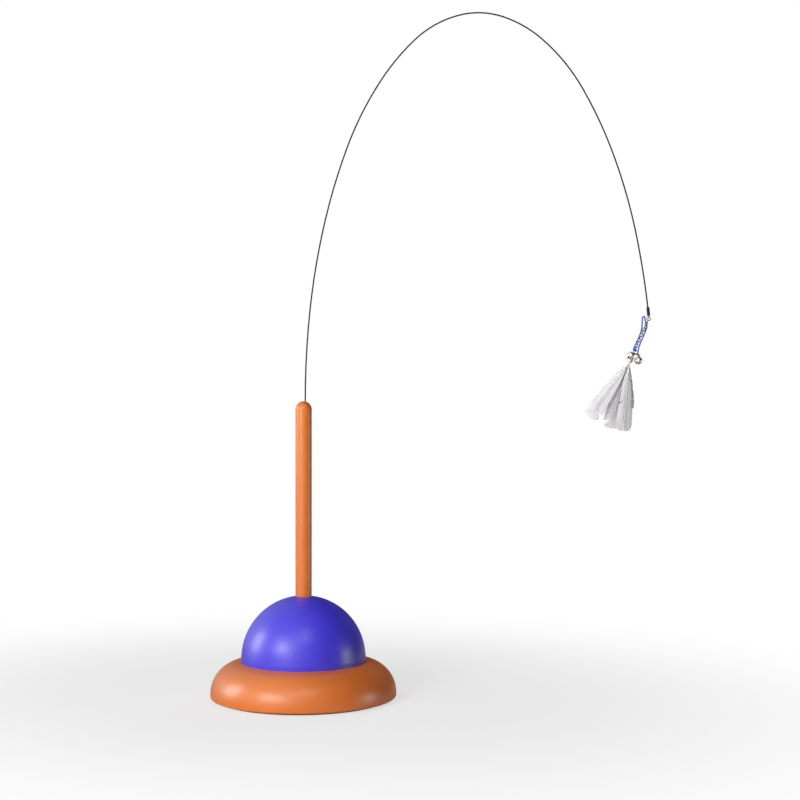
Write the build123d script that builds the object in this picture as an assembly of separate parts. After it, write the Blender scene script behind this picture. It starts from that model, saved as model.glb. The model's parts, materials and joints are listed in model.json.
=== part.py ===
from build123d import *
import os
from math import acos, asin, atan2, cos, degrees, hypot, pi, radians, sin, sqrt, tan

# Automatic cat toy: a weighted round base and dome, and a motor-driven wand whose arched spring
# wire swings a feather lure. Millimetres and degrees. The origin is on the floor at the centre of
# the base, +Z is up and the wire arches over towards +X.

# Clearances
overrun = 1.0             # how far a cutting shape passes the face it cuts
seat_gap = 0.05           # between pieces that are pushed together and stay put
running_gap = 0.05        # radial, round a shaft or pin that turns
slide_gap = 0.3           # between pieces that pass each other
cover_gap = 0.15          # round the dome, where it comes through the ring
link_gap = 0.15           # between a ring and the wire it hangs on

# Dome and ring
dome_radius = 50.2
dome_wall = 2.4
dome_skirt = 2.5          # straight stretch of the dome over the ring
flange_width = 3.4
flange_thickness = 2.2
dome_boss_wall = 1.9
dome_crown_lip = 2.6      # depth of dome left over the rod bush
ring_width = 24.8         # from the dome's outside to the ring's outside
ring_round = 25.0
ring_side = 3.5           # straight outside wall under the round
ring_wall = 2.5
ring_lip = 3.6            # depth of the lip that holds the dome's flange
ring_foot_radius = 1.8

# Base plate, anti-slip ring, ballast and base screws
plate_thickness = 2.5
pad_proud = 1.5           # the plate's height over the floor
pad_sink = 1.0
pad_margin = 6.0          # from the ring's outside to the anti-slip ring
pad_width = 6.8
pad_clear = 0.8
boss_radius = 3.4
boss_clear = 1.0
boss_bearings = (40, 140, 220, 320)
screw_radius = 1.2
screw_grip = 11.0
screw_head_radius = 2.7
screw_head_height = 1.2
screw_hole_gap = 0.4
clamp_post_radius = 2.4
clamp_bearings = (0, 60, 120, 180, 240, 300)
ballast_height = 9.0
ballast_clear = 0.8

# Battery compartment, cells, contacts and door
cell_diameter = 14.2
cell_length = 50.0
cell_nub_radius = 2.75
cell_nub_height = 1.0
cell_count = 3
cell_gap = 0.5
contact_room = 2.4
contact_thickness = 0.4
contact_width = 9.0
contact_height = 11.0
leaf_width = 7.0
leaf_half_height = 5.0
box_wall = 1.5
box_roof_gap = 0.4
door_thickness = 1.5
door_lap = 1.2
door_travel = 8.0
door_lift_gap = 0.1
cell_rest_gap = 0.2
tongue_length = 6.0
tongue_width = 1.2
tongue_thickness = 0.7
tongue_place_shares = (0.2, 0.75)
grip_rib_count = 5
grip_rib_width = 1.0
grip_rib_length = 14.0
grip_rib_depth = 0.4
grip_rib_pitch = 2.4

# Circuit board, switch and leads
board_length = 36.0
board_width = 14.0
board_thickness = 1.6
board_height = 5.0        # over the base plate
board_clear = 0.8         # between the board's corners and the ballast ring
standoff_radius = 2.2
stake_radius = 1.0
stake_spacing = 28.0
stake_head = 0.6
chip_length = 8.0
chip_width = 5.0
chip_height = 1.6
chip_x = 9.0
capacitor_radius = 3.15
capacitor_height = 8.0
capacitor_x = -8.0
switch_length = 10.0
switch_width = 5.2
switch_height = 3.2
knob_length = 5.0
knob_width = 2.8
knob_travel = 4.0
knob_proud = 0.7          # how far the knob stands out under the plate
knob_flange_length = 7.0
knob_flange_width = 5.2
knob_flange_thickness = 0.8
knob_flange_gap = 0.1
knob_finger_length = 2.0
knob_finger_width = 1.6
knob_finger_height = 2.2
knob_groove = 0.5
lead_radius = 0.6
lead_bend = 2.0
lead_rise = 2.0
motor_lead_spread = 5.0
motor_lead_reach_share = 0.5  # of the way from the motor to the board, before a lead rises
battery_lead_x = 23.0
battery_lead_height = 8.0
battery_lead_run = 9.0
battery_lead_side = 19.0
battery_lead_end = 13.0
lead_land = 3.0           # from the board's edge to where a lead ends

# Motor
motor_radius = 10.0
motor_flats = 15.1
motor_can_length = 20.6
motor_cap_length = 3.9
motor_floor_gap = 1.5
motor_rest_radius = 6.0   # pad on the base plate that the motor stands on
motor_boss_radius = 3.0
motor_boss_height = 1.5
motor_shaft_radius = 1.0
motor_shaft_inset = 1.0
motor_pocket_wall = 1.5
motor_pocket_depth = 14.0

# Gear train and gearbox
pressure_angle = 25
addendum_share = 0.8
dedendum_share = 1.1
backlash_share = 0.1
fast_module = 0.6
slow_module = 0.9
pinion_teeth = 10
wheel_teeth = 40
fast_width = 4.0
slow_width = 6.0
pinion_over = 0.5         # how far a pinion passes its wheel's face
layer_gap = 1.0
gear_lift = 1.5
hub_gap = 0.3
hub_radius = 2.0
pin_radius = 1.0
wheel_rim = 1.6
wheel_web = 1.6           # how thick a wheel is between rim and hub
wheel_hub_radius = 5.5
second_bearing = -30      # direction from the output shaft to the second gear
first_bearing = -124      # direction from the second gear to the first
motor_bearing = 175       # direction from the first gear to the motor
frame_plate = 2.0         # thickness of the gearbox's chassis and cover
post_radius = 3.0
post_clear = 0.9          # between the gearbox's corners and the dome
post_bearings = (20, 160, 195)
long_screw_radius = 1.0
long_screw_gap = 0.3
long_screw_head_radius = 2.0
long_screw_head_height = 1.5
long_screw_grip = 8.0
shaft_radius = 3.0
shaft_flat = 0.5
bush_wall = 1.5
bush_flange_width = 2.0
bush_flange = 1.0
cup_depth = 5.0
cup_floor = 0.6

# Wand
hub_clear = 0.3
hub_flange = 2.0
hub_spigot = 18.0
hub_hold = 15.0           # length of shaft inside the drive hub
rod_radius = 6.6
rod_wall = 2.0
rod_length = 183.7
rod_solid_tip = 28.0
rod_bush_wall = 2.0
rod_bush_length = 9.6
wire_radius = 0.6
wire_grip = 22.0
wire_offset = 1.3         # the wire's place beside the rod's axis
arch_half_span = 140.7
arch_rise = 314.5
arch_end_rise = 71.5      # the wire's free end over the rod's tip
arch_spans = 6

# Sleeve, eye and jump ring at the wire's end
sleeve_radius = 1.3
sleeve_grip = 4.6
sleeve_nose = 2.4
sleeve_edge = 0.3
eye_wire_radius = 0.32
eye_half_width = 0.85
eye_drop = 1.7            # from the sleeve's end to the middle of the eye's bar
eye_leg = 1.6             # length of the eye's legs inside the sleeve
ring_wire_radius = 0.32
jump_ring_radius = 1.5

# Lure: chain, cord, knot, bells and feathers, along an axis that leans as it swings
lure_tilt = 24
link_count = 10
link_wire_radius = 0.32
link_half_width = 0.85
link_straight = 1.5
knot_radius = 1.9
knot_depth = 26.0         # from the jump ring's lower bar to the middle of the knot
cord_radius = 0.6
bend_share = 0.45         # of a run that a bend of the cord takes up
cord_route = (
    (-1.2, 1.1, 25.2), (-0.9, 2.0, 21.0), (-0.8, 2.1, 14.5), (-1.1, 2.0, 9.8), (-2.0, 1.4, 6.6),
    (-3.2, 0.5, 3.9), (-4.3, 0.0, 1.5), (-4.9, 0.2, -0.5), (-4.4, 0.7, -1.5), (-3.4, 1.4, -1.7),
    (-2.6, 2.1, -0.9), (-1.8, 2.7, 0.5), (-0.6, 3.0, 1.7), (0.7, 2.6, 2.8), (1.7, 1.6, 4.8),
    (1.9, 0.6, 8.6), (2.0, 0.3, 14.6), (2.0, 0.4, 20.2), (2.5, 1.2, 23.8), (3.4, 2.4, 26.8),
    (4.6, 3.0, 29.0), (6.4, 2.8, 30.0), (8.2, 2.4, 30.2),
)
bell_ring_depth = 28.9
bell_ring_radius = 3.4
bell_ring_x = 1.6
bell_ring_y = -0.9
bell_radius = 3.2
bell_wall = 0.4
bell_rim = 0.25
bell_rim_height = 0.5
bell_slot = 0.9
bell_slot_length = 5.9
bell_slot_top = 1.0         # from the bell's middle down to the slots' ends
bell_bail_radius = 0.95
bell_bail_wire = 0.28
bell_bail_sink = 0.2
bell_ball_radius = 1.1
bell_ball_gap = 0.1
left_bell_bearing = -125
left_bell_lean = 35
right_bell_bearing = 10
right_bell_lean = 18
cap_y = 0.5
cap_neck_radius = 0.7
cap_neck_end = 30.5
cap_flare_end = 33.5
cap_radius = 2.4
cap_wall = 0.3
cap_end = 36.8
cap_bore_depth = 3.0
quill_radius = 0.4
quill_spacing = 0.95
feather_count = 4
quill_inset = 1.6
quill_share = 0.8
blade_thickness = 0.5
blade_start_share = 0.06
left_feather_length = 51.0
left_feather_width = 13.6
left_feather_lean = 10
right_feather_length = 55.0
right_feather_width = 13.0
right_feather_lean = -20
middle_feather_length = 55.5
middle_feather_width = 14.0
middle_feather_lean = -8
narrow_feather_length = 38.0
narrow_feather_width = 7.0
narrow_feather_lean = -27
# half-widths of a blade as shares of its width, beside places as shares of its length
blade_width_shares = (0.3, 0.45, 0.5, 0.38)
blade_place_shares = (0.3, 0.6, 0.82, 0.96)

# Heights and radii that follow from the sizes above
base_radius = dome_radius + ring_width
plate_bottom = pad_proud
plate_top = plate_bottom + plate_thickness
round_z = plate_bottom + ring_side
round_r = base_radius - ring_round
ring_top = round_z + ring_round
ledge_z = ring_top - ring_lip
lip_radius = dome_radius + cover_gap
flange_radius = dome_radius + flange_width
flange_bottom = ledge_z - flange_thickness
dome_z = ring_top + dome_skirt
dome_inner = dome_radius - dome_wall
dome_top = dome_z + dome_radius
plate_radius = base_radius - ring_wall - cover_gap
boss_circle = flange_radius + boss_clear + boss_radius
clamp_circle = flange_radius - clamp_post_radius

box_length = cell_length + 2 * contact_room
box_width = cell_count * cell_diameter + (cell_count + 1) * cell_gap
door_top = plate_bottom + door_thickness
cell_z = door_top + cell_rest_gap + cell_diameter / 2
box_roof = cell_z + cell_diameter / 2 + box_roof_gap
pad_outer = base_radius - pad_margin
pad_inner = pad_outer - pad_width
door_half = box_length / 2 + door_lap
pocket_half = door_half + slide_gap
pocket_back = sqrt((pad_inner - pad_clear) ** 2 - pocket_half ** 2)
door_back = pocket_back - slide_gap
box_back = door_back - door_lap
box_front = box_back - box_width
box_y = (box_front + box_back) / 2
door_front = box_front - door_lap
pocket_front = door_front - door_travel - slide_gap
pocket_top = door_top + door_lift_gap
box_corner = hypot(box_length / 2 + box_wall, box_back + box_wall)
ballast_top = plate_top + ballast_height
ballast_inner = max(box_corner, boss_circle + boss_radius) + ballast_clear
ballast_outer = round_r + sqrt((ring_round - ring_wall) ** 2 - (ballast_top - round_z) ** 2) - ballast_clear

board_bottom = plate_top + board_height
board_top = board_bottom + board_thickness
board_y = board_width / 2 - sqrt((ballast_inner - board_clear) ** 2 - (board_length / 2) ** 2)
board_edge = board_y + board_width / 2
knob_x = -knob_travel / 2
knob_flange_z = plate_top + knob_flange_gap
knob_flange_top = knob_flange_z + knob_flange_thickness

fast_pitch = fast_module * (pinion_teeth + wheel_teeth) / 2
slow_pitch = slow_module * (pinion_teeth + wheel_teeth) / 2
second_x = slow_pitch * cos(radians(second_bearing))
second_y = slow_pitch * sin(radians(second_bearing))
first_x = second_x + fast_pitch * cos(radians(first_bearing))
first_y = second_y + fast_pitch * sin(radians(first_bearing))
motor_x = first_x + fast_pitch * cos(radians(motor_bearing))
motor_y = first_y + fast_pitch * sin(radians(motor_bearing))
motor_bottom = plate_top + motor_floor_gap
can_bottom = motor_bottom + motor_cap_length
chassis_z = can_bottom + motor_can_length
chassis_top = chassis_z + frame_plate
first_wheel_z = chassis_top + gear_lift
second_wheel_z = first_wheel_z + fast_width + layer_gap
output_wheel_z = second_wheel_z + fast_width + layer_gap
cover_z = output_wheel_z + slow_width + gear_lift
cover_top = cover_z + frame_plate
long_screw_top = cover_top + long_screw_head_height
post_circle = sqrt(dome_inner ** 2 - (long_screw_top - dome_z) ** 2) - post_clear - post_radius
bush_radius = shaft_radius + running_gap + bush_wall
bush_flange_radius = bush_radius + bush_flange_width
cup_bottom = chassis_top - cup_depth
hub_bottom = cover_top + bush_flange + hub_clear
rod_bottom = hub_bottom + hub_flange
rod_top = rod_bottom + rod_length
rod_bush_radius = rod_radius + running_gap + rod_bush_wall
rod_bush_top = dome_top - dome_crown_lip
rod_bush_bottom = rod_bush_top - rod_bush_length
dome_boss_radius = rod_bush_radius + dome_boss_wall

eye_step = eye_wire_radius + ring_wire_radius + link_gap
link_step = link_wire_radius + ring_wire_radius + link_gap
chain_step = 2 * link_wire_radius + link_gap
link_length = link_straight + 2 * link_half_width
link_pitch = link_length - chain_step


def disc(radius, bottom, top, x=0, y=0):
    """Upright cylinder between two heights."""
    return Pos(x, y, bottom) * extrude(Circle(radius), top - bottom)


def sleeve(outer, inner, bottom, top, x=0, y=0):
    """Upright tube between two heights."""
    return Pos(x, y, bottom) * extrude(Circle(outer) - Circle(inner), top - bottom)


def block(x0, x1, y0, y1, z0, z1):
    """Box between two corners."""
    centre = Pos((x0 + x1) / 2, (y0 + y1) / 2, (z0 + z1) / 2)
    return centre * Box(x1 - x0, y1 - y0, z1 - z0)


def section_box(r0, r1, z0, z1):
    """Rectangle in the radius and height of a turned section."""
    return Pos((r0 + r1) / 2, (z0 + z1) / 2) * Rectangle(r1 - r0, z1 - z0)


def quarter_disc(radius, r, z):
    """Quarter of a disc, outwards and upwards of its centre, in a turned section."""
    return (Pos(r, z) * Circle(radius)) & section_box(r, r + radius, z, z + radius)


def turned(section):
    """Solid of revolution about the toy's axis from a section in radius and height."""
    return revolve(Plane.XZ * section, Axis.Z)


def round_bar(path, radius):
    """Round wire of one thickness along a path of lines and tangent arcs."""
    return sweep(Plane(origin=path @ 0, z_dir=path % 0) * Circle(radius), path=path)


def on_circle(radius, bearings):
    """Places on a circle about the toy's axis."""
    return [(radius * cos(radians(b)), radius * sin(radians(b))) for b in bearings]


def group(solids):
    """Separate solids kept together in one node."""
    return Compound(children=list(solids))


boss_places = on_circle(boss_circle, boss_bearings)
post_places = on_circle(post_circle, post_bearings)
pin_places = ((first_x, first_y), (second_x, second_y))


# Housing

def ring_outside():
    """Section of the ring as if it were full: flat side, round shoulder, flat top."""
    return (
        section_box(0, base_radius, plate_bottom, round_z)
        + section_box(0, round_r, round_z, ring_top)
        + quarter_disc(ring_round, round_r, round_z)
    )


def base_ring():
    """Rounded ring with the dome's lip and four screw bosses."""
    wall_round = ring_round - ring_wall
    hollow = (
        section_box(0, base_radius - ring_wall, plate_bottom, round_z)
        + section_box(0, round_r, round_z, ring_top - ring_wall)
        + quarter_disc(wall_round, round_r, round_z)
    )
    hollow -= section_box(0, base_radius, ledge_z, ring_top)
    shell = ring_outside() - hollow - section_box(0, lip_radius, plate_bottom, ring_top)
    outer_vertices = shell.vertices().group_by(Axis.X)[-1]
    shell = fillet(outer_vertices.sort_by(Axis.Y)[0], ring_foot_radius)
    ring = turned(shell)
    full = turned(ring_outside())
    for x, y in boss_places:
        ring += disc(boss_radius, plate_top, ring_top, x, y) & full
        ring -= disc(screw_radius, plate_top, plate_top + screw_grip, x, y)
    return ring


def dome_cover():
    """Half-round dome with a flange under the ring's lip and a boss for the rod bush."""
    full = quarter_disc(dome_radius, 0, dome_z) + section_box(0, dome_radius, flange_bottom, dome_z)
    hollow = quarter_disc(dome_inner, 0, dome_z) + section_box(0, dome_inner, flange_bottom, dome_z)
    boss = section_box(0, dome_boss_radius, rod_bush_bottom, dome_top) & full
    shell = full + section_box(0, flange_radius, flange_bottom, ledge_z) - hollow + boss
    shell -= section_box(0, rod_bush_radius, rod_bush_bottom, rod_bush_top)
    shell -= section_box(0, rod_radius + slide_gap, rod_bush_bottom, dome_top)
    return turned(shell)


def base_plate():
    """Floor of the toy: battery compartment, posts, standoffs, door pocket and switch slot."""
    plate = disc(plate_radius, plate_bottom, plate_top)
    half = box_length / 2
    plate += block(-half - box_wall, half + box_wall, box_front - box_wall, box_back + box_wall,
                   plate_top, box_roof + box_wall)
    for x, y in on_circle(clamp_circle, clamp_bearings):
        plate += disc(clamp_post_radius, plate_top, flange_bottom, x, y)
    for x, y in post_places:
        plate += disc(post_radius, plate_top, chassis_z, x, y)
        plate -= disc(long_screw_radius, chassis_z - long_screw_grip, chassis_z, x, y)
    plate += disc(motor_rest_radius, plate_top, motor_bottom, motor_x, motor_y)
    for x in (-stake_spacing / 2, stake_spacing / 2):
        plate += disc(standoff_radius, plate_top, board_bottom, x, board_y)
        plate += disc(stake_radius, board_bottom, board_top + stake_head, x, board_y)
    plate -= block(-half, half, box_front, box_back, plate_bottom, box_roof)
    plate -= block(-pocket_half, pocket_half, pocket_front, pocket_back, plate_bottom, pocket_top)
    for y in tongue_places():
        plate -= tongue_channel(y)
    plate -= sleeve(pad_outer, pad_inner, plate_bottom, plate_bottom + pad_sink)
    for x, y in boss_places:
        plate -= disc(screw_radius + screw_hole_gap, plate_bottom, plate_top, x, y)
        head_room = screw_head_radius + screw_hole_gap
        plate -= disc(head_room, plate_bottom, plate_bottom + screw_head_height, x, y)
    slot_length = knob_length + knob_travel + 2 * slide_gap
    slot = Pos(0, board_y, plate_bottom) * extrude(
        Rectangle(slot_length, knob_width + 2 * slide_gap), plate_thickness)
    return plate - slot


def tongue_places():
    """Where the door's tongues start, from its front to its back."""
    return [door_front + share * (door_back - door_front) for share in tongue_place_shares]


def tongue_channel(y):
    """Channels for one pair of tongues, and the notches where the slid door drops out."""
    reach = pocket_half + tongue_width + slide_gap
    bottom = door_top - tongue_thickness - door_lift_gap
    start = y - door_travel - slide_gap
    end = y + tongue_length + slide_gap
    channel = block(-reach, reach, start, end, bottom, pocket_top)
    notch = block(-reach, reach, start, end - door_travel, plate_bottom, pocket_top)
    return channel + notch


def battery_door():
    """Sliding door with four tongues and a ribbed thumb grip."""
    door = block(-door_half, door_half, door_front, door_back, plate_bottom, door_top)
    reach = door_half + tongue_width
    for y in tongue_places():
        door += block(-reach, reach, y, y + tongue_length, door_top - tongue_thickness, door_top)
    first = box_y - grip_rib_pitch * (grip_rib_count - 1) / 2
    for index in range(grip_rib_count):
        y = first + index * grip_rib_pitch
        groove = extrude(Rectangle(grip_rib_length, grip_rib_width), grip_rib_depth)
        door -= Pos(0, y, plate_bottom) * groove
    return door


def anti_slip_ring():
    """Soft ring set in the plate's groove; the toy stands on it."""
    return sleeve(pad_outer - seat_gap, pad_inner + seat_gap, 0, plate_bottom + pad_sink)


def ballast_ring():
    """Steel ring that keeps the toy upright."""
    return sleeve(ballast_outer, ballast_inner, plate_top, ballast_top)


def base_screws():
    """Four screws from the plate into the ring's bosses."""
    head_top = plate_bottom + screw_head_height
    screws = []
    for x, y in boss_places:
        shank = disc(screw_radius, head_top, plate_top + screw_grip - seat_gap, x, y)
        screws.append(shank + disc(screw_head_radius, plate_bottom, head_top, x, y))
    return group(screws)


# Battery cells and contacts

def cell_rows():
    """Each cell's place across the compartment and the side that its plus end faces."""
    step = cell_diameter + cell_gap
    first = box_front + cell_gap + cell_diameter / 2
    return [(first + i * step, 1 - 2 * (i % 2)) for i in range(cell_count)]


def battery_cells():
    """Three cells side by side, alternate ends forward."""
    cells = []
    body = cell_length - cell_nub_height
    for y, side in cell_rows():
        can = extrude(Circle(cell_diameter / 2), body)
        can += Pos(0, 0, body) * extrude(Circle(cell_nub_radius), cell_nub_height)
        start = Pos(-side * cell_length / 2, y, cell_z)
        cells.append(start * Rot(0, side * 90, 0) * can)
    return group(cells)


def battery_plates():
    """Dimpled plates at the cells' plus ends."""
    plates = []
    half = box_length / 2
    for y, side in cell_rows():
        plate = block(half - contact_thickness, half, y - contact_width / 2, y + contact_width / 2,
                      cell_z - contact_height / 2, cell_z + contact_height / 2)
        dimple = extrude(Circle(cell_nub_radius), contact_room - contact_thickness)
        plate += Pos(cell_length / 2, y, cell_z) * Rot(0, 90, 0) * dimple
        plates.append(plate if side > 0 else mirror(plate, about=Plane.YZ))
    return group(plates)


def battery_leaf_springs():
    """Bowed leaves that press on the cells' minus ends."""
    sag = contact_room - seat_gap
    bow = (leaf_half_height ** 2 + sag ** 2) / (2 * sag)
    strip = Circle(bow) - Circle(bow - contact_thickness)
    strip &= section_box(bow - sag, bow, -leaf_half_height, leaf_half_height)
    leaf = Pos(0, leaf_width / 2, 0) * extrude(Plane.XZ * strip, leaf_width)
    leaf = Pos(-box_length / 2 - bow + sag, 0, cell_z) * leaf
    leaves = []
    for y, side in cell_rows():
        placed = Pos(0, y, 0) * leaf
        leaves.append(placed if side > 0 else mirror(placed, about=Plane.YZ))
    return group(leaves)


# Electronics

def circuit_board():
    """Board staked on two standoffs."""
    board = Pos(0, board_y, board_bottom) * extrude(Rectangle(board_length, board_width), board_thickness)
    for x in (-stake_spacing / 2, stake_spacing / 2):
        board -= disc(stake_radius + seat_gap, board_bottom, board_top, x, board_y)
    return board


def controller_chip():
    """Controller that varies the wand's turns."""
    return Pos(chip_x, board_y, board_top) * extrude(Rectangle(chip_length, chip_width), chip_height)


def smoothing_capacitor():
    """Standing capacitor on the board."""
    return disc(capacitor_radius, board_top, board_top + capacitor_height, capacitor_x, board_y)


def switch_body():
    """Slide switch under the board, open below for the knob's finger."""
    bottom = board_bottom - switch_height
    body = Pos(0, board_y, bottom) * extrude(Rectangle(switch_length, switch_width), switch_height)
    slot = Rectangle(knob_finger_length + knob_travel + 2 * slide_gap, knob_finger_width + 2 * slide_gap)
    slot_top = knob_flange_top + knob_finger_height + slide_gap
    return body - Pos(0, board_y, bottom) * extrude(slot, slot_top - bottom)


def switch_knob():
    """Grooved knob under the plate, held by its flange, with a finger up into the switch."""
    low = plate_bottom - knob_proud
    knob = Pos(0, 0, low) * extrude(Rectangle(knob_length, knob_width), knob_flange_z - low)
    knob += Pos(0, 0, knob_flange_z) * extrude(
        Rectangle(knob_flange_length, knob_flange_width), knob_flange_thickness)
    knob += Pos(0, 0, knob_flange_top) * extrude(
        Rectangle(knob_finger_length, knob_finger_width), knob_finger_height)
    for x in (-knob_length / 4, 0, knob_length / 4):
        knob -= Pos(x, 0, low) * extrude(Rectangle(knob_groove, knob_width), knob_groove)
    return Pos(knob_x, board_y, 0) * knob


def lead(points):
    """Insulated lead along straight runs with equal bends."""
    return round_bar(FilletPolyline(*points, radius=lead_bend), lead_radius)


def lead_landing(x):
    """Last points of a lead: over the board's edge, then down on to the board."""
    land = board_edge - lead_land
    return [(x, board_edge + lead_rise, board_top + lead_rise + lead_bend),
            (x, land, board_top + lead_rise + lead_bend), (x, land, board_top)]


def motor_leads():
    """Two leads from the motor's end cap to the board."""
    face = motor_y - motor_flats / 2
    height = motor_bottom + motor_cap_length / 2
    leads = []
    for side in (-motor_lead_spread, motor_lead_spread):
        x = motor_x + side
        reach = motor_lead_reach_share * (face - board_edge)
        start = [(x, face, height), (x, face - reach, height)]
        leads.append(lead(start + lead_landing(x)))
    return group(leads)


def battery_leads():
    """Two leads from the compartment's front wall to the board."""
    wall = box_front - box_wall
    height = plate_top + battery_lead_height
    leads = []
    for side in (-1, 1):
        x = side * battery_lead_x
        start = [(x, wall, height), (x, wall - battery_lead_run, height)]
        bend = [(side * battery_lead_side, board_edge + battery_lead_run, height)]
        leads.append(lead(start + bend + lead_landing(side * battery_lead_end)))
    return group(leads)


# Motor

def motor_section():
    """Round motor with two flats."""
    return Circle(motor_radius) & Rectangle(2 * motor_radius, motor_flats)


def motor_can():
    """Steel motor can with its front boss, bored for the shaft."""
    can = Pos(motor_x, motor_y, can_bottom) * extrude(motor_section(), motor_can_length)
    boss_top = chassis_z + motor_boss_height
    can += disc(motor_boss_radius, chassis_z, boss_top, motor_x, motor_y)
    return can - disc(motor_shaft_radius + running_gap, can_bottom, boss_top, motor_x, motor_y)


def motor_end_cap():
    """Moulded cap that closes the can and carries the shaft's lower end."""
    cap = Pos(motor_x, motor_y, motor_bottom) * extrude(motor_section(), motor_cap_length)
    floor = motor_bottom + motor_shaft_inset
    return cap - disc(motor_shaft_radius + running_gap, floor, can_bottom, motor_x, motor_y)


def motor_shaft():
    """Thin steel shaft through the motor, up to the top of its pinion."""
    bottom = motor_bottom + motor_shaft_inset + running_gap
    return disc(motor_shaft_radius, bottom, first_wheel_z + fast_width + pinion_over, motor_x, motor_y)


# Gear train

def involute(angle):
    """Involute of an angle in radians."""
    return tan(angle) - angle


def gear_section(module, teeth, phase):
    """Spur gear outline with stub involute teeth; phase is the direction of one tooth's middle."""
    pitch = module * teeth / 2
    base = pitch * cos(radians(pressure_angle))
    root = pitch - dedendum_share * module
    tip = pitch + addendum_share * module
    start = max(root, base)
    radii = sorted({root, start, (start + tip) / 2, tip})
    middle = (pi / 2 - backlash_share) / teeth + involute(radians(pressure_angle))
    flank = [(r, middle - involute(acos(min(base / r, 1)))) for r in radii]
    outline = [(r, -half) for r, half in flank] + [(r, half) for r, half in reversed(flank)]
    points = []
    for tooth in range(teeth):
        turn = phase + 2 * pi * tooth / teeth
        points += [(r * cos(turn + half), r * sin(turn + half)) for r, half in outline]
    return make_face(Polyline(*points, close=True))


def mesh_phase(phase, teeth, bearing, mating_teeth):
    """Phase that puts a mating gear's space on the first gear's tooth along the line of centres."""
    advance = (radians(bearing) - phase) * teeth / (2 * pi) % 1
    return radians(bearing) + pi - (0.5 - advance) * 2 * pi / mating_teeth


pinion_phase = 0
first_phase = mesh_phase(pinion_phase, pinion_teeth, motor_bearing + 180, wheel_teeth)
second_phase = mesh_phase(first_phase, pinion_teeth, first_bearing + 180, wheel_teeth)
output_phase = mesh_phase(second_phase, pinion_teeth, second_bearing + 180, wheel_teeth)


def wheel(module, width, phase, hub):
    """Toothed rim on a thinner web, with the hub's disc at full width."""
    rim = module * (wheel_teeth / 2 - dedendum_share) - wheel_rim
    gear = extrude(gear_section(module, wheel_teeth, phase), width)
    recess = extrude(Circle(rim) - Circle(hub), (width - wheel_web) / 2)
    return gear - recess - Pos(0, 0, (width + wheel_web) / 2) * recess


def motor_pinion():
    """Pinion on the motor's shaft."""
    bottom = first_wheel_z - pinion_over
    top = first_wheel_z + fast_width + pinion_over
    teeth = extrude(gear_section(fast_module, pinion_teeth, pinion_phase), top - bottom)
    pinion = Pos(motor_x, motor_y, bottom) * teeth
    return pinion - disc(motor_shaft_radius, bottom, top, motor_x, motor_y)


def compound_gear(x, y, wheel_z, phase, pinion_module, pinion_top):
    """Wheel and pinion in one, with a hub that spaces it between the gearbox's plates."""
    wheel_top = wheel_z + fast_width
    gear = Pos(0, 0, wheel_z) * wheel(fast_module, fast_width, phase, wheel_hub_radius)
    pinion = extrude(gear_section(pinion_module, pinion_teeth, phase), pinion_top - wheel_top)
    gear += Pos(0, 0, wheel_top) * pinion
    gear += disc(hub_radius, chassis_top + hub_gap, cover_z - hub_gap)
    gear -= disc(pin_radius + running_gap, chassis_top, cover_z)
    return Pos(x, y, 0) * gear


def first_gear():
    """Gear that the motor's pinion drives."""
    top = second_wheel_z + fast_width + pinion_over
    return compound_gear(first_x, first_y, first_wheel_z, first_phase, fast_module, top)


def second_gear():
    """Gear between the first gear and the output gear."""
    top = output_wheel_z + slow_width + pinion_over
    return compound_gear(second_x, second_y, second_wheel_z, second_phase, slow_module, top)


def output_gear():
    """Slow gear on the output shaft."""
    gear = wheel(slow_module, slow_width, output_phase, wheel_hub_radius)
    return Pos(0, 0, output_wheel_z) * (gear - extrude(Circle(shaft_radius), slow_width))


def gear_pins():
    """Two fixed pins that the compound gears turn on."""
    return group(disc(pin_radius, chassis_z, cover_top, x, y) for x, y in pin_places)


# Gearbox

def frame_outline(*more):
    """Outline of a gearbox plate: a hull round its posts, the gear pins and any more discs."""
    discs = [Pos(x, y) * Circle(post_radius) for x, y in (*post_places, *pin_places)]
    return make_hull([edge for face in (*discs, *more) for edge in face.edges()])


def frame_holes(bottom, top):
    """Holes that both plates have: gear pins and long screws."""
    holes = [disc(pin_radius, bottom, top, x, y) for x, y in pin_places]
    holes += [disc(long_screw_radius + long_screw_gap, bottom, top, x, y) for x, y in post_places]
    return holes


def gear_chassis():
    """Lower plate on the base's posts, with the pocket that holds the motor."""
    motor_disc = Pos(motor_x, motor_y) * Circle(motor_radius + motor_pocket_wall)
    plate = Pos(0, 0, chassis_z) * extrude(frame_outline(motor_disc), frame_plate)
    motor_place = Pos(motor_x, motor_y, chassis_z - motor_pocket_depth)
    pocket = offset(motor_section(), motor_pocket_wall) - motor_section()
    plate += motor_place * extrude(pocket, motor_pocket_depth)
    plate -= disc(motor_boss_radius + seat_gap, chassis_z, chassis_top, motor_x, motor_y)
    plate -= disc(bush_radius, chassis_z, chassis_top)
    for hole in frame_holes(chassis_z, chassis_top):
        plate -= hole
    return plate


def gear_cover():
    """Upper plate with three legs that stand on the chassis."""
    plate = Pos(0, 0, cover_z) * extrude(frame_outline(), frame_plate)
    for x, y in post_places:
        plate += disc(post_radius, chassis_top, cover_z, x, y)
    plate -= disc(bush_radius, cover_z, cover_top)
    for hole in frame_holes(chassis_top, cover_top):
        plate -= hole
    return plate


def gearbox_screws():
    """Long screws through cover and chassis into the base's posts."""
    screws = []
    for x, y in post_places:
        shank = disc(long_screw_radius, chassis_z - long_screw_grip + seat_gap, cover_top, x, y)
        head = disc(long_screw_head_radius, cover_top, long_screw_top, x, y)
        screws.append(shank + head)
    return group(screws)


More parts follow.
